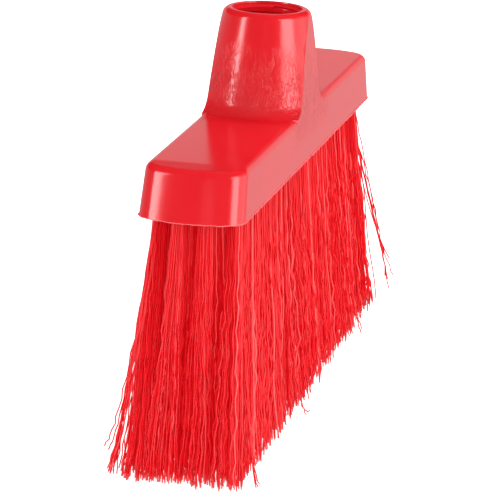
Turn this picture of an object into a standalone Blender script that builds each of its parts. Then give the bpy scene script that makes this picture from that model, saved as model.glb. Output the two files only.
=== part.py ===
"""Upright broom head: a moulded block with a threaded handle socket, and its bristle tufts.

Frame: X runs along the block, Y across it, Z up. The bristle tips stand on z = 0, with the
origin under the middle of the block. Units are metres.
"""

import math
from functools import partial

import bmesh
import bpy

# Plate: the long flat body that holds the tufts
BLOCK_LENGTH = 0.310
BLOCK_WIDTH = 0.0467
PLATE_HEIGHT = 0.0225
END_RADIUS = 0.0420
CORNER_RADIUS = 0.0110
END_DRAFT = math.radians(16.1)
SIDE_DRAFT = math.radians(2.85)
RIM_RADIUS = 0.0030

# Bore with the handle's thread
BORE_RADIUS = 0.0148
BORE_FLOOR = 0.0084
MOUTH_DEPTH = 0.0012
THREAD_PITCH = 0.0030
THREAD_TURNS = 8
THREAD_DEPTH = 0.0010
THREAD_ROOT_WIDTH = 0.0009
THREAD_OPEN_WIDTH = 0.0021

# Socket: the cone that takes the handle, flat where the plate's sides cut it
SOCKET_HEIGHT = 0.0449
SOCKET_WALL = 0.0037
SOCKET_FLARE_X = 0.271
SOCKET_FLARE_Y = 0.236
SOCKET_FOOT_RADIUS = 0.0055
LIP_RADIUS = 0.0022
FLAT_STEP = 0.0001

# Bristle field: four rows of tufts, the outer rows one tuft shorter at each end
BRISTLE_LENGTH = 0.111
HOLE_RADIUS = 0.0035
HOLE_DEPTH = 0.014
INNER_ROW_TUFTS = 28
OUTER_ROW_TUFTS = 26
ROWS = (OUTER_ROW_TUFTS, INNER_ROW_TUFTS, INNER_ROW_TUFTS, OUTER_ROW_TUFTS)
TUFTS_PER_NODE = 2
END_MARGIN = 0.01325
SIDE_MARGIN = 0.00685
END_OVERHANG = 0.0150
SIDE_OVERHANG = 0.00465
TIP_CORNER_RADIUS = 0.0030

# Clearances
TUFT_CLEARANCE = 0.0003
TUFT_GAP = 0.0005
MOUTH_CLEARANCE = 0.0002
THREAD_OVERLAP = 0.0003
CUT_MARGIN = 0.0020

# Facets
END_STEPS = 3
CORNER_STEPS = 7
RIM_STEPS = 4
SOCKET_SIDES = 48
FOOT_STEPS = 4
LIP_STEPS = 3
BORE_SIDES = 24
HOLE_SIDES = 10

# Places and sizes that follow
UNDERSIDE_Z = BRISTLE_LENGTH
PLATE_TOP_Z = UNDERSIDE_Z + PLATE_HEIGHT
SOCKET_TOP_Z = PLATE_TOP_Z + SOCKET_HEIGHT
BORE_BOTTOM_Z = UNDERSIDE_Z + HOLE_DEPTH + BORE_FLOOR
MOUTH_RADIUS = BORE_RADIUS + THREAD_DEPTH + MOUTH_CLEARANCE
SOCKET_TOP_RADIUS = MOUTH_RADIUS + SOCKET_WALL
CORNER_LIMIT = BLOCK_WIDTH / 2 - PLATE_HEIGHT * math.tan(SIDE_DRAFT) - RIM_RADIUS
TUFT_PITCH = (BLOCK_LENGTH - 2 * END_MARGIN) / (INNER_ROW_TUFTS - 1)
ROW_PITCH = (BLOCK_WIDTH - 2 * SIDE_MARGIN) / (len(ROWS) - 1)
TIP_ROW_PITCH = (BLOCK_WIDTH + 2 * SIDE_OVERHANG) / len(ROWS)


def clear_scene():
    """Remove whatever the scene holds."""
    for item in list(bpy.data.objects):
        bpy.data.objects.remove(item, do_unlink=True)


def plastic(name, colour, roughness):
    """Principled plastic with a plain colour."""
    material = bpy.data.materials.new(name)
    material.use_nodes = True
    shader = material.node_tree.nodes["Principled BSDF"]
    shader.inputs["Base Color"].default_value = (*colour, 1.0)
    shader.inputs["Roughness"].default_value = roughness
    shader.inputs["Metallic"].default_value = 0.0
    return material


def add_object(name, mesh_builder, material=None, smooth_below=None):
    """Make an object at the world origin from a bmesh that mesh_builder fills."""
    shape = bmesh.new()
    mesh_builder(shape)
    bmesh.ops.recalc_face_normals(shape, faces=shape.faces)
    mesh = bpy.data.meshes.new(name)
    shape.to_mesh(mesh)
    shape.free()
    if smooth_below is not None:
        mesh.shade_smooth()
        mesh.set_sharp_from_angle(angle=smooth_below)
    if material is not None:
        mesh.materials.append(material)
    item = bpy.data.objects.new(name, mesh)
    bpy.context.scene.collection.objects.link(item)
    return item


def as_cutter(item):
    """Keep an object as a Boolean's operand only."""
    item.hide_render = True
    item.display_type = "WIRE"
    return item


def add_boolean(item, operand, operation):
    """Combine item with operand by the exact solver."""
    modifier = item.modifiers.new(operand.name, "BOOLEAN")
    modifier.operation = operation
    modifier.solver = "EXACT"
    modifier.object = operand


def add_ring(shape, points, z):
    """Add one closed ring of vertices at height z."""
    return [shape.verts.new((x, y, z)) for x, y in points]


def add_wall(shape, lower, upper):
    """Join two rings that have the same number of vertices."""
    count = len(lower)
    for i in range(count):
        j = (i + 1) % count
        shape.faces.new((lower[i], lower[j], upper[j], upper[i]))


def add_stack(shape, rings):
    """Close a stack of rings with walls and two end caps."""
    for lower, upper in zip(rings, rings[1:]):
        add_wall(shape, lower, upper)
    shape.faces.new(list(reversed(rings[0])))
    shape.faces.new(rings[-1])


def circle(radius, sides, centre=(0.0, 0.0), phase=0.0):
    """Points of a regular polygon inscribed in a circle."""
    angles = [phase + 2 * math.pi * i / sides for i in range(sides)]
    return [(centre[0] + radius * math.cos(a), centre[1] + radius * math.sin(a)) for a in angles]


def arc(centre, radius, start, end, steps):
    """Points along an arc, its start included and its end left out."""
    angles = [start + (end - start) * i / steps for i in range(steps)]
    return [(centre[0] + radius * math.cos(a), centre[1] + radius * math.sin(a)) for a in angles]


def plate_outline(end_inset, side_inset, radius_inset=0.0):
    """Plan outline: straight sides, and ends that bulge between blended corners."""
    half_length = BLOCK_LENGTH / 2 - end_inset
    half_width = BLOCK_WIDTH / 2 - side_inset
    end_radius = END_RADIUS - radius_inset
    corner_radius = min(CORNER_RADIUS, CORNER_LIMIT) - radius_inset
    end_x = half_length - end_radius
    corner_y = half_width - corner_radius
    corner_x = end_x + math.sqrt((end_radius - corner_radius) ** 2 - corner_y**2)
    blend = math.atan2(corner_y, corner_x - end_x)
    half_end = arc((end_x, 0), end_radius, 0, blend, END_STEPS)
    corner = arc((corner_x, corner_y), corner_radius, blend, math.pi / 2, CORNER_STEPS)
    quarter = half_end + corner + [(corner_x, half_width)]
    right_back = [(-x, y) for x, y in reversed(quarter)]
    left_back = [(-x, -y) for x, y in quarter[1:]]
    left_front = [(x, -y) for x, y in reversed(quarter[1:])]
    return quarter + right_back + left_back + left_front


def draft_inset(height, angle):
    """How far a drafted wall has moved in at a height above the underside."""
    return height * math.tan(angle)


def build_plate(shape):
    """Drafted plate with its rounded top rim."""
    rings = [add_ring(shape, plate_outline(0, 0), UNDERSIDE_Z)]
    for i in range(RIM_STEPS + 1):
        turn = math.pi / 2 * i / RIM_STEPS
        inset = RIM_RADIUS * (1 - math.cos(turn))
        height = PLATE_HEIGHT - RIM_RADIUS * (1 - math.sin(turn))
        end_inset = draft_inset(height, END_DRAFT) + inset
        side_inset = draft_inset(height, SIDE_DRAFT) + inset
        outline = plate_outline(end_inset, side_inset, inset)
        rings.append(add_ring(shape, outline, UNDERSIDE_Z + height))
    add_stack(shape, rings)


def socket_ring(radius, drop, outset=0.0):
    """Socket's section at a distance below its top: it grows faster along X than along Y."""
    radius_x = radius + SOCKET_FLARE_X * drop + outset
    radius_y = radius + SOCKET_FLARE_Y * drop + outset
    angles = [2 * math.pi * i / SOCKET_SIDES for i in range(SOCKET_SIDES)]
    return [(radius_x * math.cos(a), radius_y * math.sin(a)) for a in angles]


def build_socket(shape):
    """Solid cone with a rounded lip and a foot that sweeps out onto the plate."""
    root_z = UNDERSIDE_Z + PLATE_HEIGHT / 2
    foot_turn = math.radians(80)
    foot_outset = SOCKET_FOOT_RADIUS * (1 - math.cos(foot_turn))
    rings = [add_ring(shape, socket_ring(SOCKET_TOP_RADIUS, SOCKET_HEIGHT, foot_outset), root_z)]
    for i in range(FOOT_STEPS, -1, -1):
        turn = foot_turn * i / FOOT_STEPS
        outset = SOCKET_FOOT_RADIUS * (1 - math.cos(turn))
        rise = SOCKET_FOOT_RADIUS * (1 - math.sin(turn))
        points = socket_ring(SOCKET_TOP_RADIUS, SOCKET_HEIGHT - rise, outset)
        rings.append(add_ring(shape, points, PLATE_TOP_Z + rise))
    for i in range(LIP_STEPS + 1):
        turn = math.pi / 2 * i / LIP_STEPS
        drop = LIP_RADIUS * (1 - math.sin(turn))
        inset = LIP_RADIUS * (1 - math.cos(turn))
        rings.append(add_ring(shape, socket_ring(SOCKET_TOP_RADIUS, drop, -inset), SOCKET_TOP_Z - drop))
    add_stack(shape, rings)


def build_side_limits(shape):
    """Tall wedge that trims the socket flat, a hair inside the plate's two long sides.

    The wedge never closes in on the socket's wall round the bore.
    """
    reach = BLOCK_LENGTH / 2
    height = SOCKET_TOP_Z + CUT_MARGIN - UNDERSIDE_Z
    foot = BLOCK_WIDTH / 2 - FLAT_STEP
    top = max(foot - draft_inset(height, SIDE_DRAFT), SOCKET_TOP_RADIUS - FLAT_STEP)
    rings = []
    for half_width, z in ((foot, UNDERSIDE_Z), (top, UNDERSIDE_Z + height)):
        corners = [(-reach, -half_width), (reach, -half_width), (reach, half_width), (-reach, half_width)]
        rings.append(add_ring(shape, corners, z))
    add_stack(shape, rings)


def build_bore(shape):
    """Blind bore with a wider mouth."""
    mouth_z = SOCKET_TOP_Z - MOUTH_DEPTH
    step = MOUTH_RADIUS - BORE_RADIUS
    rings = [
        add_ring(shape, circle(BORE_RADIUS, BORE_SIDES), BORE_BOTTOM_Z),
        add_ring(shape, circle(BORE_RADIUS, BORE_SIDES), mouth_z - step),
        add_ring(shape, circle(MOUTH_RADIUS, BORE_SIDES), mouth_z),
        add_ring(shape, circle(MOUTH_RADIUS, BORE_SIDES), SOCKET_TOP_Z + CUT_MARGIN),
    ]
    add_stack(shape, rings)


def build_thread(shape):
    """Right-handed helical groove cut outwards from the bore's wall."""
    open_half = THREAD_OPEN_WIDTH / 2
    root_half = THREAD_ROOT_WIDTH / 2
    flank_slope = (open_half - root_half) / THREAD_DEPTH
    inner_half = open_half + flank_slope * THREAD_OVERLAP
    inner = BORE_RADIUS - THREAD_OVERLAP
    root = BORE_RADIUS + THREAD_DEPTH
    profile = [(inner, -inner_half), (root, -root_half), (root, root_half), (inner, inner_half)]
    start_z = SOCKET_TOP_Z - MOUTH_DEPTH - THREAD_PITCH * (THREAD_TURNS + 0.5)
    sections = []
    for i in range(THREAD_TURNS * BORE_SIDES + 1):
        angle = 2 * math.pi * i / BORE_SIDES
        z = start_z + THREAD_PITCH * i / BORE_SIDES
        cosine, sine = math.cos(angle), math.sin(angle)
        sections.append([shape.verts.new((r * cosine, r * sine, z + dz)) for r, dz in profile])
    add_stack(shape, sections)


def row_places():
    """Every tuft's row and the centre of its hole, row by row."""
    places = []
    for row, count in enumerate(ROWS):
        y = (row - (len(ROWS) - 1) / 2) * ROW_PITCH
        places += [(row, (i - (count - 1) / 2) * TUFT_PITCH, y) for i in range(count)]
    return places


def build_tuft_holes(shape):
    """One blind hole for each tuft, drilled up from the underside."""
    for _, x, y in row_places():
        points = circle(HOLE_RADIUS, HOLE_SIDES, (x, y), math.pi / 2)
        lower = add_ring(shape, points, UNDERSIDE_Z - CUT_MARGIN)
        upper = add_ring(shape, points, UNDERSIDE_Z + HOLE_DEPTH)
        add_stack(shape, [lower, upper])


def make_block(material):
    """The moulded block: plate, socket, bore, thread and tuft holes."""
    block = add_object("block", build_plate, material, math.radians(35))
    socket = as_cutter(add_object("socket_form", build_socket))
    limits = as_cutter(add_object("socket_sides", build_side_limits))
    bore = as_cutter(add_object("bore_cut", build_bore))
    thread = as_cutter(add_object("thread_cut", build_thread))
    holes = as_cutter(add_object("hole_cut", build_tuft_holes))
    add_boolean(socket, limits, "INTERSECT")
    add_boolean(block, socket, "UNION")
    add_boolean(block, bore, "DIFFERENCE")
    add_boolean(block, thread, "DIFFERENCE")
    add_boolean(block, holes, "DIFFERENCE")
    return block


def tip_ring(row, pair):
    """Rounded rectangle that a pair of tufts fills at the tips, its share of the tip field."""
    pairs = ROWS[row] // TUFTS_PER_NODE
    pitch_x = (BLOCK_LENGTH + 2 * END_OVERHANG) / pairs
    centre_x = (pair - (pairs - 1) / 2) * pitch_x
    centre_y = (row - (len(ROWS) - 1) / 2) * TIP_ROW_PITCH
    inner_x = (pitch_x - TUFT_GAP) / 2 - TIP_CORNER_RADIUS
    inner_y = (TIP_ROW_PITCH - TUFT_GAP) / 2 - TIP_CORNER_RADIUS
    points = []
    for side_x, side_y, start in ((-1, 1, 90), (-1, -1, 180), (1, -1, 270), (1, 1, 0)):
        for step in range(3):
            turn = math.radians(start + 45 * step)
            x = centre_x + side_x * inner_x + TIP_CORNER_RADIUS * math.cos(turn)
            y = centre_y + side_y * inner_y + TIP_CORNER_RADIUS * math.sin(turn)
            points.append((x, y))
    return points


def build_tuft_pair(shape, holes, tip_points):
    """Two neighbouring tufts: a root in each hole, and filaments that run together below."""
    root_top = UNDERSIDE_Z + HOLE_DEPTH - TUFT_CLEARANCE
    collars = []
    for centre in holes:
        points = circle(HOLE_RADIUS - TUFT_CLEARANCE, HOLE_SIDES, centre, math.pi / 2)
        upper = add_ring(shape, points, root_top)
        collar = add_ring(shape, points, UNDERSIDE_Z - TUFT_GAP)
        add_wall(shape, collar, upper)
        shape.faces.new(upper)
        collars.append(collar)
    first, second = collars
    half = HOLE_SIDES // 2
    outside = first[: half + 1] + second[half:] + second[:1]
    between = [first[0]] + first[:half - 1:-1] + second[half::-1]
    shape.faces.new(between)
    tips = add_ring(shape, tip_points, 0.0)
    add_wall(shape, tips, outside)
    shape.faces.new(list(reversed(tips)))


def make_tufts(material):
    """All the tufts, two neighbours of a row to an object."""
    for row in range(len(ROWS)):
        places = [(x, y) for place_row, x, y in row_places() if place_row == row]
        for pair in range(len(places) // TUFTS_PER_NODE):
            holes = places[pair * TUFTS_PER_NODE : (pair + 1) * TUFTS_PER_NODE]
            builder = partial(build_tuft_pair, holes=holes, tip_points=tip_ring(row, pair))
            add_object(f"tufts_row{row + 1}_{pair + 1:02d}", builder, material, math.radians(50))


def main():
    clear_scene()
    red = (0.84, 0.012, 0.02)
    make_block(plastic("block_plastic", red, 0.32))
    make_tufts(plastic("bristle_filament", red, 0.45))


main()
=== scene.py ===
"""Looks of an upright broom head: moulded block, crimped bristle tufts, stray filaments, anchor
staples and mould flash.

Frame: X runs along the block, Y across it, Z up; the bristle tips stand on the floor at z = 0.
Sizes are metres.
"""

import math
from contextlib import contextmanager

import bmesh
import bpy
import numpy as np
from mathutils import Matrix, Vector, noise


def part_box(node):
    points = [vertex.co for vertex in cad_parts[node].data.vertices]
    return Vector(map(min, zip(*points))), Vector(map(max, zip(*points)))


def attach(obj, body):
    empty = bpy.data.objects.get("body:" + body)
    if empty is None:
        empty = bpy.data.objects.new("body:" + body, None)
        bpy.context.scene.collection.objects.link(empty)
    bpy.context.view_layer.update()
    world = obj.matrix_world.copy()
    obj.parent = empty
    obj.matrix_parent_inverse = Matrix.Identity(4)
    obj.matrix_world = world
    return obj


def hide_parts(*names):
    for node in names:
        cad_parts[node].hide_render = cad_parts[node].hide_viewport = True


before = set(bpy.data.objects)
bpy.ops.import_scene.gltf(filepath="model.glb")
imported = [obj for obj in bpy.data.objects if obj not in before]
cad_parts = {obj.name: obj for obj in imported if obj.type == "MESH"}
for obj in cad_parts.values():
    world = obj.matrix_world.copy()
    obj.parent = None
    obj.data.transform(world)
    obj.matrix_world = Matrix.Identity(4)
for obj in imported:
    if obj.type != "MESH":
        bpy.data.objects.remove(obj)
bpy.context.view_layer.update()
block_low, block_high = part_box("block")

# Plate
HALF_LENGTH = block_high.x
HALF_WIDTH = block_high.y
UNDERSIDE_Z = block_low.z
SOCKET_TOP_Z = block_high.z
PLATE_HEIGHT = 0.0225
PLATE_TOP_Z = UNDERSIDE_Z + PLATE_HEIGHT
END_RADIUS = 0.0420
CORNER_RADIUS = 0.0110
END_DRAFT = math.radians(16.1)
SIDE_DRAFT = math.radians(2.85)
RIM_RADIUS = 0.0030
EDGE_BREAK = 0.00035

# Slight fall of the plate's top towards the near end
FALL_START = 0.1335
END_FALL = math.radians(2.4)

# Socket
SOCKET_TOP_RADIUS = 0.0197
FLARE_X = 0.271
FLARE_Y = 0.236
FOOT_RADIUS = 0.0055
FOOT_SWEEP = math.radians(86)
LIP_RADIUS = 0.0024
FLAT_STEP = 0.00002

# Bore, its wider mouth and the thread
BORE_RADIUS = 0.0148
BORE_BOTTOM_Z = UNDERSIDE_Z + 0.0224
MOUTH_RADIUS = 0.0160
MOUTH_DEPTH = 0.0012
MOUTH_BREAK = 0.0004
THREAD_PITCH = 0.0030
THREAD_TURNS = 8
THREAD_DEPTH = 0.0010
THREAD_WIDTH = 0.0023
THREAD_TAPER = 0.45
THREAD_ROUNDING = 0.0003
THREAD_OVERLAP = 0.0003

# Tuft rows
HOLE_RADIUS = 0.0035
HOLE_DEPTH = 0.014
TUFT_PITCH = 0.0105
ROW_PITCH = 0.0110
ROW_TUFTS = (26, 28, 28, 26)
TIP_LENGTH = 0.340
TIP_ROW_PITCH = 0.0140
CORNER_LEAN = 0.0032

# Filaments: how many in a tuft, their size, and how they gather, fan out and wave
FILAMENTS = 66
FILAMENT_RADIUS = 0.00034
FILAMENT_RINGS = 23
FREE_LENGTH = 0.111
ROOT_RADIUS = 0.0030
ROOT_GAP = 0.0022
GOLDEN_ANGLE = 2.39996
LOCKS = 7
TIP_OVERLAP = 1.06
TIP_SCATTER = 0.0011
TIP_LEAN = 0.0010
TIP_WEAR = 0.0013
MOST_WEAR = 0.012
TIP_RISE = 0.0010
FAR_RISE = 0.0014
LOWEST_TIP = 0.0002
FAN_CURVE = 1.06
CRIMP_LENGTHS = (0.0125, 0.0165)
CRIMP_HEIGHTS = (0.00045, 0.00090)
DRIFT_LENGTHS = (0.045, 0.085)
DRIFT_HEIGHTS = (0.0005, 0.0012)
PHASES = (0, 6.28)

# Anchor staples
STAPLE_LENGTH = 0.0080
STAPLE_THICKNESS = 0.00035
STAPLE_HEIGHT = 0.0018
STAPLE_EDGE = 0.00006
STAPLE_DROP = 0.0012

# Mould flash: where it starts inside the wall, how far it stands out, and how ragged it is
FLASH_RISE = 0.0002
FLASH_ROOT = 0.0006
FLASH_REACH = 0.0003
FLASH_THICKNESS = 0.0003
FLASH_RIPPLE = 0.00035
FLASH_CURL = 0.0003

# Facets
END_STEPS = 10
CORNER_STEPS = 22
RIM_STEPS = 7
SOCKET_SIDES = 120
FOOT_STEPS = 9
LIP_STEPS = 8
BORE_SIDES = 80
THREAD_SIDES = 56
HOLE_SIDES = 16


# ---------------------------------------------------------------- workshop


def deselect_all():
    bpy.ops.object.select_all(action="DESELECT")


def pick(item):
    """Make item the only selected, active object."""
    deselect_all()
    item.select_set(True)
    bpy.context.view_layer.objects.active = item


def primitive(operator, name, **settings):
    """Add a primitive with its place already in its mesh."""
    deselect_all()
    operator(**settings)
    item = bpy.context.active_object
    item.name = name
    item.data.name = name
    bpy.ops.object.transform_apply(location=True, rotation=True, scale=True)
    return item


@contextmanager
def editing(item, everything=False):
    """Edit mode on item, with all or none of it selected."""
    pick(item)
    bpy.ops.object.mode_set(mode="EDIT")
    bpy.ops.mesh.select_all(action="SELECT" if everything else "DESELECT")
    yield
    bpy.ops.object.mode_set(mode="OBJECT")


def select_parts(item, kind, wanted):
    """In edit mode, select the vertices, edges or faces that wanted(part) accepts."""
    shape = bmesh.from_edit_mesh(item.data)
    bpy.ops.mesh.select_mode(type={"verts": "VERT", "edges": "EDGE", "faces": "FACE"}[kind])
    bpy.ops.mesh.select_all(action="DESELECT")
    for part in getattr(shape, kind):
        if wanted(part):
            part.select_set(True)
    shape.select_flush_mode()
    bmesh.update_edit_mesh(item.data)


def apply_modifier(item, kind, **settings):
    """Add a modifier and apply it at once."""
    modifier = item.modifiers.new(kind.lower(), kind)
    for name, value in settings.items():
        setattr(modifier, name, value)
    pick(item)
    bpy.ops.object.modifier_apply(modifier=modifier.name)


def combine(item, tool, operation):
    """Join or cut item with tool, and clear the tool away."""
    apply_modifier(item, "BOOLEAN", object=tool, operation=operation, solver="EXACT")
    bpy.data.objects.remove(tool, do_unlink=True)


def join(items, name):
    """Several objects as one."""
    deselect_all()
    for item in items:
        item.select_set(True)
    bpy.context.view_layer.objects.active = items[0]
    bpy.ops.object.join()
    items[0].name = name
    items[0].data.name = name
    return items[0]


def copy_of(item, name):
    """A copy with its own mesh."""
    twin = item.copy()
    twin.data = item.data.copy()
    twin.name = name
    twin.data.name = name
    bpy.context.scene.collection.objects.link(twin)
    return twin


def draw_up(item, sections):
    """Extrude the one selected face through sections of (x radius, y radius, z)."""
    for (rx0, ry0, z0), (rx1, ry1, z1) in zip(sections, sections[1:]):
        bpy.ops.mesh.extrude_region_move(TRANSFORM_OT_translate={"value": (0, 0, z1 - z0)})
        bpy.ops.transform.resize(value=(rx1 / rx0, ry1 / ry0, 1), center_override=(0, 0, z1))


def turned_form(name, sections, sides):
    """Closed form of stacked round sections, from the first section to the last."""
    rx, ry, z = sections[0]
    form = primitive(
        bpy.ops.mesh.primitive_circle_add, name,
        vertices=sides, radius=rx, fill_type="NGON", location=(0, 0, z),
    )
    with editing(form, everything=True):
        bpy.ops.transform.resize(value=(1, ry / rx, 1), center_override=(0, 0, z))
        draw_up(form, sections)
        bpy.ops.mesh.select_all(action="SELECT")
        bpy.ops.mesh.normals_make_consistent(inside=False)
    return form


def ride_on_head(item, finish, replaced=()):
    """Paint a piece, and fix it to the head."""
    item.data.materials.clear()
    item.data.materials.append(finish)
    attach(item, "root")
    if replaced:
        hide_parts(*replaced)


# ---------------------------------------------------------------- finishes


class Wire:
    """A socket's value, which arithmetic turns into Math nodes."""

    def __init__(self, wiring, socket):
        self.wiring = wiring
        self.socket = socket

    def maths(self, operation, *values):
        return self.wiring.add("ShaderNodeMath", {"operation": operation}, dict(enumerate(values)))

    def __add__(self, other):
        return self.maths("ADD", self, other)

    __radd__ = __add__

    def __sub__(self, other):
        return self.maths("SUBTRACT", self, other)

    def __rsub__(self, other):
        return self.maths("SUBTRACT", other, self)

    def __mul__(self, other):
        return self.maths("MULTIPLY", self, other)

    __rmul__ = __mul__

    def __abs__(self):
        return self.maths("ABSOLUTE", self)


class Wiring:
    """A node tree whose nodes are added one by one."""

    def __init__(self, tree):
        self.tree = tree

    def add(self, kind, settings=None, sockets=None, output=0):
        """Add a node: its settings first, then its sockets' values or links."""
        node = self.tree.nodes.new(kind)
        for name, value in (settings or {}).items():
            setattr(node, name, value)
        for key, value in (sockets or {}).items():
            self.feed(node.inputs[key], value)
        return Wire(self, node.outputs[output])

    def feed(self, socket, value):
        if isinstance(value, Wire):
            self.tree.links.new(value.socket, socket)
        else:
            socket.default_value = value

    def axes(self, vector):
        """The three numbers of a vector."""
        node = self.add("ShaderNodeSeparateXYZ", None, {0: vector}).socket.node
        return [Wire(self, output) for output in node.outputs]

    def step(self, value, low, high, start=0.0, end=1.0):
        """Smooth change from start to end as value goes from low to high."""
        values = {"Value": value, "From Min": low, "From Max": high, "To Min": start, "To Max": end}
        return self.add("ShaderNodeMapRange", {"interpolation_type": "SMOOTHSTEP"}, values)

    def blend(self, factor, first, second):
        """A number between two numbers."""
        return self.add("ShaderNodeMix", {"data_type": "FLOAT"}, {0: factor, 2: first, 3: second})


class Finish(Wiring):
    """A material's node tree."""

    def __init__(self, name, **constants):
        self.material = bpy.data.materials.new(name)
        self.material.use_nodes = True
        super().__init__(self.material.node_tree)
        self.shader = self.tree.nodes["Principled BSDF"]
        for socket, value in constants.items():
            self.set(socket.replace("_", " "), value)

    def places(self, scale=(1, 1, 1)):
        """Object coordinates, stretched by scale."""
        coordinates = self.add("ShaderNodeTexCoord", output="Object")
        return self.add("ShaderNodeVectorMath", {"operation": "MULTIPLY"}, {0: coordinates, 1: scale})

    def noise(self, vector, scale, detail=2.0, roughness=0.5, distortion=0.0):
        values = {"Vector": vector, "Scale": scale, "Detail": detail, "Roughness": roughness,
                  "Distortion": distortion}
        return self.add("ShaderNodeTexNoise", None, values, output="Fac")

    def mix(self, factor, first, second):
        """A colour between two colours."""
        colours = {0: factor, 6: first, 7: second}
        return self.add("ShaderNodeMix", {"data_type": "RGBA"}, colours, output=2)

    def attribute(self, name):
        return self.add("ShaderNodeAttribute", {"attribute_name": name}, output="Fac")

    def bump(self, height, strength, distance, normal=None):
        values = {"Height": height, "Strength": strength, "Distance": distance}
        if normal:
            values["Normal"] = normal
        return self.add("ShaderNodeBump", None, values)

    def set(self, name, value):
        self.feed(self.shader.inputs[name], value)


def glossy_moulding(name, deep, bright):
    """Injection-moulded polypropylene: orange peel, uneven gloss, and flow marks low on the socket."""
    paint = Finish(name, Metallic=0.0, IOR=1.49)
    here = paint.places()
    x, _, z = paint.axes(here)

    cloud = paint.noise(here, 22.0, detail=3.0)
    speck = paint.noise(here, 420.0, detail=2.0)
    red = paint.mix(paint.step(cloud, 0.3, 0.7), deep, bright)
    paint.set("Base Color", red)
    paint.set("Roughness", 0.17 + 0.04 * cloud + 0.02 * speck)

    # Flow marks: thin upright wandering lines on the lower socket and the plate's sides beside it
    grain = paint.noise(paint.places((1, 1, 0.085)), 700.0, detail=2.0, roughness=0.5, distortion=0.5)
    fine = paint.noise(paint.places((1, 1, 0.11)), 1500.0, detail=1.5, roughness=0.5)
    ridges = paint.step(abs(grain - 0.5), 0.0, 0.035, 1.0, 0.0)
    scores = paint.step(abs(fine - 0.5), 0.0, 0.05, 1.0, 0.0)
    patches = paint.step(paint.noise(here, 70.0, detail=2.0), 0.38, 0.62)
    low_socket = paint.step(z, PLATE_TOP_Z + 0.012, PLATE_TOP_Z + 0.036, 1.0, 0.0)
    above_foot = paint.step(z, PLATE_TOP_Z - 0.016, PLATE_TOP_Z + 0.004)
    near_socket = paint.step(abs(x), 0.030, 0.050, 1.0, 0.0)
    marked = low_socket * above_foot * near_socket
    lines = (ridges * 0.7 + scores * 0.5 * patches) * marked

    peel = paint.noise(here, 900.0, detail=1.0)
    waves = paint.noise(here, 60.0, detail=1.0)
    skin = paint.bump(peel + 3.0 * waves, 0.12, 0.00006)
    paint.set("Normal", paint.bump(lines, 0.9, 0.00017, normal=skin))
    return paint.material


def crimped_filament():
    """Extruded red filament: each its own tone, a few pale, with a painted glow that lifts the shade
    between filaments, paler where cut.
    """
    paint = Finish("crimped_red_filament", Metallic=0.0, IOR=1.5, Specular_IOR_Level=0.3)
    tone = paint.attribute("tone")
    along = paint.attribute("along")
    here = paint.places()
    patch = paint.noise(here, 160.0, detail=2.0)
    deep = paint.mix(tone, (0.66, 0.0028, 0.0076, 1), (0.77, 0.0060, 0.0125, 1))
    pale = paint.step(tone, 0.90, 0.93)
    body = paint.mix(pale * 0.75, deep, (1.0, 0.14, 0.14, 1))
    cut = paint.step(along, 0.975, 1.0)
    paint.set("Base Color", paint.mix(cut * 0.25, body, (1.0, 0.38, 0.38, 1)))
    paint.set("Roughness", 0.26 + 0.16 * patch)
    # Painted light: the filament glows faintly in its own deep red, lifting the shade in the gaps between
    # filaments.
    paint.set("Emission Color", deep)
    paint.set("Emission Strength", 0.22)
    streaks = paint.noise(paint.places((1, 1, 0.12)), 2600.0, detail=1.0)
    paint.set("Normal", paint.bump(streaks, 0.25, 0.00005))
    return paint.material


def drawn_steel():
    """Bright drawn wire with fine lengthwise scores."""
    paint = Finish("drawn_steel_wire", Metallic=1.0)
    scores = paint.noise(paint.places((0.06, 1, 1)), 5200.0, detail=2.0)
    tone = paint.noise(paint.places(), 300.0, detail=2.0)
    paint.set("Base Color", paint.mix(tone, (0.42, 0.42, 0.43, 1), (0.62, 0.62, 0.61, 1)))
    paint.set("Roughness", 0.24 + 0.22 * scores)
    paint.set("Normal", paint.bump(scores, 0.2, 0.00002))
    return paint.material


def pale_floor():
    """Plain white floor that glows a little, as a lit studio table does."""
    paint = Finish("white_studio_table", Roughness=0.7)
    haze = paint.noise(paint.places(), 3.0, detail=1.0)
    paint.set("Base Color", paint.mix(haze, (0.93, 0.93, 0.93, 1), (0.95, 0.95, 0.95, 1)))
    paint.set("Emission Color", (1, 1, 1, 1))
    paint.set("Emission Strength", 0.8)
    return paint.material


# ---------------------------------------------------------------- block


def plate_outline(name, z):
    """The plate's outline as a closed line: a quarter is spun from one vertex and mirrored."""
    end_x = HALF_LENGTH - END_RADIUS
    corner_y = HALF_WIDTH - CORNER_RADIUS
    corner_x = end_x + math.sqrt((END_RADIUS - CORNER_RADIUS) ** 2 - corner_y**2)
    blend = math.atan2(corner_y, corner_x - end_x)
    outline = primitive(bpy.ops.mesh.primitive_plane_add, name, size=0.001, location=(HALF_LENGTH, 0, z))
    with editing(outline, everything=True):
        bpy.ops.mesh.select_mode(type="VERT")
        bpy.ops.mesh.merge(type="CENTER")
        bpy.ops.mesh.spin(
            steps=END_STEPS, angle=blend,
            center=(end_x, 0, z), axis=(0, 0, -1),
        )
        bpy.ops.mesh.spin(
            steps=CORNER_STEPS, angle=math.pi / 2 - blend,
            center=(corner_x, corner_y, z), axis=(0, 0, -1),
        )
        bpy.ops.mesh.extrude_region_move(TRANSFORM_OT_translate={"value": (-corner_x, 0, 0)})
    apply_modifier(outline, "MIRROR", use_axis=(True, True, False), merge_threshold=1e-6)
    with editing(outline, everything=True):
        bpy.ops.mesh.remove_doubles(threshold=1e-6)
    return outline


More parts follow.
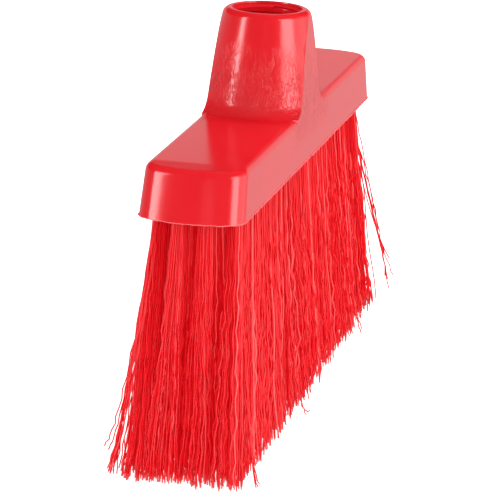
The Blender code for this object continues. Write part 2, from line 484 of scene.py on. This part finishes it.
def plate_form():
    """Plate: its outline filled and drawn up with draft, its near end cut to a fall, its edges rounded."""
    plate = plate_outline("plate", UNDERSIDE_Z)
    with editing(plate, everything=True):
        bpy.ops.mesh.edge_face_add()
        bpy.ops.mesh.extrude_region_move(TRANSFORM_OT_translate={"value": (0, 0, PLATE_HEIGHT)})
        top_length = HALF_LENGTH - PLATE_HEIGHT * math.tan(END_DRAFT)
        top_width = HALF_WIDTH - PLATE_HEIGHT * math.tan(SIDE_DRAFT)
        bpy.ops.transform.resize(
            value=(top_length / HALF_LENGTH, top_width / HALF_WIDTH, 1),
            center_override=(0, 0, PLATE_TOP_Z),
        )
        bpy.ops.mesh.select_all(action="SELECT")
        bpy.ops.mesh.normals_make_consistent(inside=False)
        bpy.ops.mesh.bisect(
            plane_co=(-FALL_START, 0, PLATE_TOP_Z),
            plane_no=(-math.sin(END_FALL), 0, math.cos(END_FALL)),
            use_fill=True, clear_outer=True, threshold=1e-7,
        )

        # The rim lies between the faces that look up and the walls
        select_parts(plate, "edges", lambda e: len({f.normal.z > 0.9 for f in e.link_faces}) == 2)
        bpy.ops.mesh.bevel(offset=RIM_RADIUS, segments=RIM_STEPS, profile=0.5, affect="EDGES")
        low = UNDERSIDE_Z + 1e-5
        select_parts(plate, "edges", lambda e: all(v.co.z < low for v in e.verts))
        bpy.ops.mesh.bevel(offset=EDGE_BREAK, segments=2, profile=0.5, affect="EDGES")
    return plate


def socket_section(z, outset=0.0):
    """Socket's half widths at a height: it grows faster along X than along Y."""
    drop = SOCKET_TOP_Z - z
    rx = SOCKET_TOP_RADIUS + FLARE_X * drop + outset
    ry = SOCKET_TOP_RADIUS + FLARE_Y * drop + outset
    return rx, ry, z


def socket_form():
    """Cone with a rounded lip and a swept foot, trimmed flat by the planes of the plate's long sides."""
    sections = []
    for i in range(LIP_STEPS + 1):
        turn = math.pi / 2 * (1 - i / LIP_STEPS)
        z = SOCKET_TOP_Z - LIP_RADIUS * (1 - math.sin(turn))
        sections.append(socket_section(z, -LIP_RADIUS * (1 - math.cos(turn))))
    for i in range(1, 4):
        z = SOCKET_TOP_Z - LIP_RADIUS - (PLATE_HEIGHT * 2 - LIP_RADIUS - FOOT_RADIUS) * i / 4
        sections.append(socket_section(z))
    for i in range(FOOT_STEPS + 1):
        turn = FOOT_SWEEP * i / FOOT_STEPS
        z = PLATE_TOP_Z + FOOT_RADIUS * (1 - math.sin(turn))
        sections.append(socket_section(z, FOOT_RADIUS * (1 - math.cos(turn))))
    rx, ry, _ = sections[-1]
    sections.append((rx, ry, UNDERSIDE_Z + PLATE_HEIGHT / 2))
    socket = turned_form("socket", sections, SOCKET_SIDES)
    for side in (-1, 1):
        with editing(socket, everything=True):
            bpy.ops.mesh.bisect(
                plane_co=(0, side * (HALF_WIDTH - FLAT_STEP), UNDERSIDE_Z),
                plane_no=(0, side * math.cos(SIDE_DRAFT), math.sin(SIDE_DRAFT)),
                use_fill=True, clear_outer=True, threshold=1e-6,
            )
    return socket


def bore_form():
    """Bore, its step and the wider mouth with a broken edge."""
    above = SOCKET_TOP_Z + 0.002
    mouth_z = SOCKET_TOP_Z - MOUTH_DEPTH
    step = MOUTH_RADIUS - BORE_RADIUS
    flare = MOUTH_RADIUS + MOUTH_BREAK
    part_break = MOUTH_BREAK * 0.3
    radii = [
        (flare, above), (flare, SOCKET_TOP_Z),
        (MOUTH_RADIUS + part_break, SOCKET_TOP_Z - part_break),
        (MOUTH_RADIUS, SOCKET_TOP_Z - MOUTH_BREAK), (MOUTH_RADIUS, mouth_z),
        (BORE_RADIUS, mouth_z - step),
        (BORE_RADIUS, BORE_BOTTOM_Z + 0.001), (BORE_RADIUS - 0.001, BORE_BOTTOM_Z),
    ]
    return turned_form("bore", [(r, r, z) for r, z in radii], BORE_SIDES)


def thread_form():
    """Rounded helical groove: its profile is screwed up the bore."""
    start_z = SOCKET_TOP_Z - MOUTH_DEPTH - THREAD_PITCH * (THREAD_TURNS + 0.5)
    depth = THREAD_DEPTH + THREAD_OVERLAP
    middle_x = BORE_RADIUS - THREAD_OVERLAP + depth / 2
    groove = primitive(
        bpy.ops.mesh.primitive_plane_add, "thread",
        size=1, location=(middle_x, 0, start_z), rotation=(math.pi / 2, 0, 0),
    )
    with editing(groove, everything=True):
        bpy.ops.transform.resize(value=(depth, 1, THREAD_WIDTH), center_override=(middle_x, 0, start_z))
        select_parts(groove, "edges", lambda e: all(v.co.x > middle_x for v in e.verts))
        bpy.ops.transform.resize(value=(1, 1, THREAD_TAPER), center_override=(0, 0, start_z))
        bpy.ops.mesh.bevel(offset=THREAD_ROUNDING, segments=2, affect="VERTICES")
    apply_modifier(
        groove, "SCREW",
        angle=2 * math.pi, screw_offset=THREAD_PITCH, iterations=THREAD_TURNS,
        steps=THREAD_SIDES, render_steps=THREAD_SIDES, use_smooth_shade=False,
        use_merge_vertices=False,
    )
    with editing(groove, everything=True):
        bpy.ops.mesh.fill_holes(sides=0)
        bpy.ops.mesh.select_all(action="SELECT")
        bpy.ops.mesh.normals_make_consistent(inside=False)
    return groove


def hole_form():
    """All the tuft holes: one with a broken mouth and a drill point, repeated along each row."""
    top = UNDERSIDE_Z + HOLE_DEPTH
    radii = [
        (HOLE_RADIUS + 0.0011, UNDERSIDE_Z - 0.0008), (HOLE_RADIUS, UNDERSIDE_Z + 0.0003),
        (HOLE_RADIUS, top - 0.0012), (HOLE_RADIUS / 2, top),
    ]
    first = turned_form("hole", [(r, r, z) for r, z in radii], HOLE_SIDES)
    return join(repeated_in_rows(first, "hole_row"), "holes")


def repeated_in_rows(first, name):
    """One form repeated at every tuft: an object for each row, and the first is cleared away."""
    rows = []
    for row, count in enumerate(ROW_TUFTS):
        line = copy_of(first, name)
        line.location = (-(count - 1) / 2 * TUFT_PITCH, (row - 1.5) * ROW_PITCH, 0)
        pick(line)
        bpy.ops.object.transform_apply(location=True)
        apply_modifier(
            line, "ARRAY", count=count, use_relative_offset=False,
            use_constant_offset=True, constant_offset_displace=(TUFT_PITCH, 0, 0),
        )
        rows.append(line)
    bpy.data.objects.remove(first, do_unlink=True)
    return rows


def make_block(finish):
    """The moulded block."""
    block = plate_form()
    combine(block, socket_form(), "UNION")
    combine(block, bore_form(), "DIFFERENCE")
    combine(block, thread_form(), "DIFFERENCE")
    combine(block, hole_form(), "DIFFERENCE")
    block.name = "moulded_block"
    block.data.name = "moulded_block"
    pick(block)
    bpy.ops.object.shade_smooth_by_angle(angle=math.radians(32))
    apply_modifier(block, "WEIGHTED_NORMAL", keep_sharp=True)
    ride_on_head(block, finish, ["block"])


# ---------------------------------------------------------------- bristles


def straight_filament():
    """One filament of unit length, standing up from z = 0: a triangle drawn up ring by ring."""
    filament = primitive(
        bpy.ops.mesh.primitive_circle_add, "filament",
        vertices=3, radius=FILAMENT_RADIUS, fill_type="NGON", location=(0, 0, 0),
    )
    with editing(filament, everything=True):
        for _ in range(FILAMENT_RINGS - 1):
            bpy.ops.mesh.extrude_region_move(
                TRANSFORM_OT_translate={"value": (0, 0, 1 / (FILAMENT_RINGS - 1))}
            )
        bpy.ops.mesh.select_all(action="SELECT")
        bpy.ops.mesh.normals_make_consistent(inside=False)
    pick(filament)
    bpy.ops.object.shade_smooth()
    unroll(filament.data)
    return filament


def unroll(mesh):
    """Lay a straight filament's skin flat: its turn runs across the map and its length up it."""
    layer = mesh.uv_layers.new(name="OFBake")
    for face in mesh.polygons:
        corners = [mesh.vertices[i].co for i in face.vertices]
        turns = [math.atan2(c.y, c.x) / (2 * math.pi) % 1 for c in corners]
        is_cap = len(corners) == 3
        wraps = not is_cap and max(turns) - min(turns) > 0.5
        for loop, corner, turn in zip(face.loop_indices, corners, turns):
            across = turn + 1 if wraps and turn < 0.5 else turn
            cap = 0.012 * (1 - 2 * corner.z) if is_cap and turn > 0.5 else 0
            layer.data[loop].uv = (0.05 + 0.9 * (across - 0.25), 0.015 + 0.97 * corner.z + cap)


def filament_bundle(filament, count, name):
    """Many straight filaments in one mesh, each with its own strip of the map."""
    bundle = copy_of(filament, name)
    for corner in bundle.data.uv_layers["OFBake"].data:
        corner.uv.x /= count
    apply_modifier(
        bundle, "ARRAY", count=count, use_relative_offset=False,
        use_constant_offset=True, constant_offset_displace=(0, 0, 0), use_merge_vertices=False,
        offset_u=1 / count,
    )
    return bundle


def comb(bundle, paths, tones):
    """Lay each filament of a bundle along its own path, an array of filaments x rings x 3."""
    count, rings = paths.shape[:2]
    mesh = bundle.data
    total = len(mesh.vertices)
    points = np.empty(total * 3)
    mesh.vertices.foreach_get("co", points)
    points = points.reshape(count, total // count, 3)
    ring = np.rint(points[..., 2] * (rings - 1)).astype(int)
    filament = np.arange(count)[:, None]
    along = np.gradient(paths, axis=1)
    along /= np.linalg.norm(along, axis=2, keepdims=True)
    side = np.cross(along, (0.0, 1.0, 0.0))
    side /= np.linalg.norm(side, axis=2, keepdims=True)
    front = np.cross(along, side)
    spin = tones[:, None] * 40.0
    across = points[..., 0] * np.cos(spin) - points[..., 1] * np.sin(spin)
    deep = points[..., 0] * np.sin(spin) + points[..., 1] * np.cos(spin)
    placed = paths[filament, ring]
    placed = placed + across[..., None] * side[filament, ring]
    placed = placed + deep[..., None] * front[filament, ring]
    mesh.vertices.foreach_set("co", placed.reshape(-1))
    add_numbers(mesh, "tone", np.broadcast_to(tones[:, None], ring.shape))
    add_numbers(mesh, "along", ring / (rings - 1))
    mesh.update()


def add_numbers(mesh, name, values):
    """Give each vertex a number that a finish can read."""
    attribute = mesh.attributes.new(name, "FLOAT", "POINT")
    attribute.data.foreach_set("value", np.ascontiguousarray(values, np.float32).reshape(-1))


def ring_shares():
    """Places of the rings along a filament: one in the hole, the rest evenly from the hole's mouth."""
    free = np.linspace(0, 1, FILAMENT_RINGS - 1)
    return np.concatenate([[-1], free])


def packed_disc(random):
    """Evenly packed places in a disc of radius 1, turned at random."""
    index = np.arange(FILAMENTS)
    reach = np.sqrt((index + 0.5) / FILAMENTS)
    angle = index * GOLDEN_ANGLE + random.uniform(*PHASES)
    return np.stack([np.cos(angle), np.sin(angle)], 1) * reach[:, None]


def gathered_tips(random, disc, centre, size):
    """Tips over a soft-cornered box, gathered into a few locks; and which lock each one is in."""
    reach = np.linalg.norm(disc, axis=1, keepdims=True)
    square = disc / np.maximum(np.abs(disc).max(1, keepdims=True), 1e-6) * reach
    mixed = 0.35 * disc + 0.65 * square
    middles = random.normal(0, 0.45, (LOCKS, 2))
    lock = np.argmin(((mixed[:, None] - middles[None]) ** 2).sum(2), 1)
    pull = random.uniform(0.05, 0.30, LOCKS)[lock][:, None]
    spread = mixed * (1 - pull) + middles[lock] * pull
    tips = np.array(centre) + spread * np.array(size) / 2 * TIP_OVERLAP
    return tips + random.normal(0, TIP_SCATTER, (FILAMENTS, 2)), lock


def swing(random, lock, free, lengths, heights, loose, alike):
    """Sideways offsets of a wave down each filament; the filaments of a lock go nearly in step.

    Loose says how far phases and directions differ within a lock; heights are alike in it or not.
    """
    length = random.uniform(*lengths, LOCKS)[lock]
    phase = random.uniform(*PHASES, LOCKS)[lock] + random.normal(0, loose[0], FILAMENTS)
    turn = random.uniform(*PHASES, LOCKS)[lock] + random.normal(0, loose[1], FILAMENTS)
    height = random.uniform(*heights, LOCKS)[lock] if alike else random.uniform(*heights, FILAMENTS)
    along = FREE_LENGTH * free[None] * 6.283 / length[:, None]
    offset = height[:, None] * np.sin(along + phase[:, None])
    return offset[..., None] * np.stack([np.cos(turn), np.sin(turn)], 1)[:, None]


def tuft_paths(random, root, tip, tip_pitch):
    """Centre lines of one tuft's filaments, from its hole to its share of the tip field."""
    disc = packed_disc(random)
    tips, lock = gathered_tips(random, disc, tip, (tip_pitch, TIP_ROW_PITCH))
    end = np.clip(tip[0] / (TIP_LENGTH / 2), -1, 1)
    tips[:, 1] += TIP_LEAN * (2 * end - 1)
    roots = np.array(root) + disc * ROOT_RADIUS

    worn = np.minimum(random.exponential(TIP_WEAR, FILAMENTS), MOST_WEAR)
    rise = TIP_RISE + FAR_RISE * end
    tip_z = np.maximum(worn + rise + random.normal(0, 0.0004, FILAMENTS), LOWEST_TIP)

    free = np.clip(ring_shares(), 0, 1)
    flat = roots[:, None] + (tips - roots)[:, None] * (free**FAN_CURVE)[None, :, None]
    grow = (np.clip(free * 3.2, 0, 1) ** 1.3)[None, :, None]
    more = grow * (0.35 + 0.65 * free)[None, :, None]
    flat += grow * swing(random, lock, free, CRIMP_LENGTHS, CRIMP_HEIGHTS, (0.55, 0.5), alike=False)
    flat += more * swing(random, lock, free, DRIFT_LENGTHS, DRIFT_HEIGHTS, (0.35, 0.3), alike=True)
    z = UNDERSIDE_Z + (tip_z[:, None] - UNDERSIDE_Z) * free[None]
    z[:, 0] = UNDERSIDE_Z + HOLE_DEPTH - ROOT_GAP
    return np.concatenate([flat, z[..., None]], 2)


def make_bristles(filament, finish):
    """One piece for each pair of tufts, in place of the pair's plain solid."""
    random = np.random.default_rng(4127)
    bundle = filament_bundle(filament, 2 * FILAMENTS, "bundle")
    for row, count in enumerate(ROW_TUFTS):
        tip_pitch = TIP_LENGTH / count
        for pair in range(count // 2):
            paths = []
            for tuft in (2 * pair, 2 * pair + 1):
                place = tuft - (count - 1) / 2
                lean = CORNER_LEAN if row == 3 and tuft < 2 else 0
                root = (place * TUFT_PITCH, (row - 1.5) * ROW_PITCH)
                tip = (place * tip_pitch, (row - 1.5) * TIP_ROW_PITCH - lean)
                paths.append(tuft_paths(random, root, tip, tip_pitch))
            piece = copy_of(bundle, f"bristles_row{row + 1}_{pair + 1:02d}")
            comb(piece, np.concatenate(paths), random.uniform(0, 1, 2 * FILAMENTS))
            ride_on_head(piece, finish, [f"tufts_row{row + 1}_{pair + 1:02d}"])
    bpy.data.objects.remove(bundle, do_unlink=True)


# Loose filaments, a line for each hole they leave:
# root (x, y), middle, tip, how many, how far apart, and how much higher than the tip some end
STRAYS = (
    ((-0.1365, 0.0165), (-0.160, 0.0196, 0.046), (-0.1680, 0.0256, 0.0015), 13, 0.0013, 0.0055),
    ((-0.1365, 0.0165), (-0.160, 0.0222, 0.040), (-0.1655, 0.0290, 0.0100), 2, 0.0010, 0.0100),
    ((-0.1260, -0.0165), (-0.146, -0.0280, 0.030), (-0.1640, -0.0375, 0.0010), 3, 0.0020, 0.0020),
    ((-0.0420, -0.0165), (-0.052, -0.0290, 0.030), (-0.0560, -0.0370, 0.0040), 2, 0.0020, 0.0030),
    ((0.0630, -0.0165), (0.078, -0.0285, 0.040), (0.0830, -0.0360, 0.0080), 2, 0.0015, 0.0040),
    ((0.1310, -0.0165), (0.159, -0.0255, 0.055), (0.1650, -0.0350, 0.0060), 4, 0.0016, 0.0120),
    ((0.1310, -0.0165), (0.152, -0.0240, 0.060), (0.1590, -0.0325, 0.0200), 2, 0.0012, 0.0100),
)


def stray_paths(random, root, middle, tip, count, spread, lift):
    """Curved centre lines of the loose filaments of one hole."""
    free = np.clip(ring_shares(), 0, 1)
    start = np.zeros((count, 3)) + (*root, UNDERSIDE_Z)
    start[:, :2] += random.normal(0, 0.0012, (count, 2))
    end = tip + random.normal(0, spread, (count, 3)) * (1, 1, 0)
    end[:, 2] += random.uniform(0, lift, count)
    via = middle + random.normal(0, spread / 2, (count, 3))
    via = 2 * via - (start + end) / 2
    ahead = free[None, :, None]
    back = 1 - ahead
    lines = back**2 * start[:, None] + 2 * ahead * back * via[:, None] + ahead**2 * end[:, None]
    phase = random.uniform(*PHASES, (count, 1))
    wave = np.sin(free * 48 + phase) * random.uniform(0.0002, 0.0005, (count, 1))
    lines[..., 0] += wave
    lines[..., 1] += wave * random.uniform(-1, 1, (count, 1))
    lines[:, 0] = lines[:, 1] + (0, 0, HOLE_DEPTH - ROOT_GAP)
    return lines


def make_strays(filament, finish):
    """Loose filaments that stand apart from the tufts, most of them at the corners."""
    random = np.random.default_rng(918)
    paths = np.concatenate([stray_paths(random, *stray) for stray in STRAYS])
    piece = filament_bundle(filament, len(paths), "stray_filaments")
    comb(piece, paths, random.uniform(0, 1, len(paths)))
    ride_on_head(piece, finish)


# ---------------------------------------------------------------- staples and flash


def make_staples(finish):
    """Flat wire anchors at the tops of the tuft holes, driven into the block."""
    first = primitive(
        bpy.ops.mesh.primitive_cube_add, "staple",
        size=1, location=(0, 0, UNDERSIDE_Z + HOLE_DEPTH - STAPLE_DROP),
        scale=(STAPLE_LENGTH, STAPLE_THICKNESS, STAPLE_HEIGHT),
    )
    with editing(first, everything=True):
        bpy.ops.mesh.bevel(offset=STAPLE_EDGE, segments=1, affect="EDGES")
    staples = join(repeated_in_rows(first, "staple_row"), "anchor_staples")
    ride_on_head(staples, finish)


def ruffle(fin):
    """In edit mode, push the selected edge in and out and up and down, a little more at the near end."""
    shape = bmesh.from_edit_mesh(fin.data)
    for vert in shape.verts:
        if vert.select:
            near = 1.15 if vert.co.x < -HALF_LENGTH * 0.9 else 1
            ripple = noise.noise(vert.co * 260) + 0.6 * noise.noise(vert.co * 700)
            out = Vector((vert.co.x * 0.15, vert.co.y, 0)).normalized()
            vert.co += out * FLASH_RIPPLE * near * ripple
            vert.co.z += FLASH_CURL * near * noise.noise(vert.co * 330)
    bmesh.update_edit_mesh(fin.data)


def make_flash(finish):
    """Thin ragged fin of plastic that the mould's parting left along the plate's lower edge."""
    fin = plate_outline("mould_flash", UNDERSIDE_Z + FLASH_RISE)
    root_x, root_y = HALF_LENGTH - FLASH_ROOT, HALF_WIDTH - FLASH_ROOT
    edge_x, edge_y = HALF_LENGTH + FLASH_REACH, HALF_WIDTH + FLASH_REACH
    to_root = (root_x / HALF_LENGTH, root_y / HALF_WIDTH, 1)
    to_edge = (edge_x / root_x, edge_y / root_y, 1)
    with editing(fin, everything=True):
        select_parts(fin, "edges", lambda e: e.calc_length() > 0.05)
        bpy.ops.mesh.subdivide(number_cuts=260)
        select_parts(fin, "edges", lambda e: e.calc_length() > 0.0012)
        bpy.ops.mesh.subdivide(number_cuts=2)
        bpy.ops.mesh.select_all(action="SELECT")
        bpy.ops.transform.resize(value=to_root, center_override=(0, 0, 0))
        bpy.ops.mesh.extrude_region_move()
        bpy.ops.transform.resize(value=to_edge, center_override=(0, 0, 0))
        ruffle(fin)
    apply_modifier(fin, "SOLIDIFY", thickness=FLASH_THICKNESS, offset=0)
    pick(fin)
    bpy.ops.object.shade_smooth()
    # Its paler red finish is partly a painted highlight along the lower edge.
    ride_on_head(fin, finish)


# ---------------------------------------------------------------- studio


def softbox(name, towards, elevation, distance, width, height, radiance, gloss):
    """Rectangular light aimed at the head from a direction, in degrees from +X in the XY plane.

    A gloss box is seen only as a highlight, and the others fill without any highlight.
    """
    turn, rise = math.radians(towards), math.radians(elevation)
    aim = Vector((0, 0, 0.10))
    back = Vector((math.cos(turn) * math.cos(rise), math.sin(turn) * math.cos(rise), math.sin(rise)))
    data = bpy.data.lights.new(name, "AREA")
    data.shape = "RECTANGLE"
    data.size = width
    data.size_y = height
    data.energy = radiance * math.pi * width * height
    light = bpy.data.objects.new(name, data)
    light.location = aim + back * distance
    light.rotation_euler = back.to_track_quat("Z", "Y").to_euler()
    light.visible_camera = False
    light.visible_diffuse = not gloss
    light.visible_glossy = gloss
    bpy.context.scene.collection.objects.link(light)


def studio_world():
    """White to look at and even in the light it gives; its gloss is bright only low behind the far end."""
    world = bpy.data.worlds.new("studio")
    world.use_nodes = True
    bpy.context.scene.world = world
    sky = Wiring(world.node_tree)
    x, _, z = sky.axes(sky.add("ShaderNodeTexCoord"))
    gloss = sky.step(x, -0.8, 0.8, 0.02, 0.60) * sky.step(z, 0.225, 0.285, 1.0, 0.03)
    is_seen = sky.add("ShaderNodeLightPath", output="Is Camera Ray")
    is_gloss = sky.add("ShaderNodeLightPath", output="Is Glossy Ray")
    strength = sky.blend(is_seen, sky.blend(is_gloss, 1.10, gloss), 1.0)
    back = world.node_tree.nodes["Background"]
    sky.feed(back.inputs["Color"], (1, 1, 1, 1))
    sky.feed(back.inputs["Strength"], strength)


def lay_floor(finish):
    """Large bright table that adds no light of its own to the head."""
    table = primitive(bpy.ops.mesh.primitive_plane_add, "studio_table", size=16, location=(0, 0, 0))
    table.data.materials.append(finish)
    table.visible_diffuse = False
    table.visible_glossy = False


def set_camera():
    """Long lens from beyond the near end, a little above and to one side."""
    turn, rise, roll = math.radians(-78.5549), math.radians(13.5735), math.radians(2.529)
    target = Vector((0, 0.0031, 0.0645))
    distance = 1.9237
    back = Vector((math.sin(turn) * math.cos(rise), -math.cos(turn) * math.cos(rise), math.sin(rise)))
    level = (-back).cross(Vector((0, 0, 1))).normalized()
    up = level.cross(-back)
    right = math.cos(roll) * level + math.sin(roll) * up
    tilted_up = math.cos(roll) * up - math.sin(roll) * level
    data = bpy.data.cameras.new("camera")
    data.lens = 300.22
    data.sensor_width = 36
    data.clip_end = 50
    camera = bpy.data.objects.new("camera", data)
    axes = Matrix((right, tilted_up, back)).transposed().to_4x4()
    camera.matrix_world = Matrix.Translation(target + back * distance) @ axes
    bpy.context.scene.collection.objects.link(camera)
    bpy.context.scene.camera = camera


RED = ((0.61, 0.0040, 0.0095, 1), (0.65, 0.0058, 0.0120, 1))
# The flash's red is paler: partly the thin plastic's own paler tone, partly a painted highlight along the
# plate's lower edge.
FLASH_RED_AND_PAINTED_HIGHLIGHT = ((0.86, 0.10, 0.11, 1), (0.90, 0.16, 0.17, 1))

red_moulding = glossy_moulding("glossy_red_moulding", *RED)
flash_moulding_and_painted_highlight = glossy_moulding("thin_red_moulding_and_painted_highlight", *FLASH_RED_AND_PAINTED_HIGHLIGHT)
red_filament = crimped_filament()
make_block(red_moulding)
plain_filament = straight_filament()
make_bristles(plain_filament, red_filament)
make_strays(plain_filament, red_filament)
make_staples(drawn_steel())
make_flash(flash_moulding_and_painted_highlight)
bpy.data.objects.remove(plain_filament, do_unlink=True)
lay_floor(pale_floor())
studio_world()

# Name, direction, elevation, distance, width, height, radiance
softbox("left_softbox", 129, 15, 1.3, 0.24, 1.1, 12.0, gloss=True)
softbox("right_softbox", 246, 15, 1.3, 0.70, 1.3, 7.0, gloss=True)
softbox("side_softbox", 286, 10, 1.3, 1.20, 1.3, 1.0, gloss=True)
softbox("near_fill", 191, 13, 2.2, 0.5, 0.5, 17.0, gloss=False)
softbox("side_fill", 285, 8, 2.0, 1.0, 1.0, 6.5, gloss=False)
softbox("top_fill", 350, 60, 1.5, 1.0, 1.0, 2.2, gloss=False)
set_camera()
bpy.context.scene.view_settings.view_transform = "Standard"
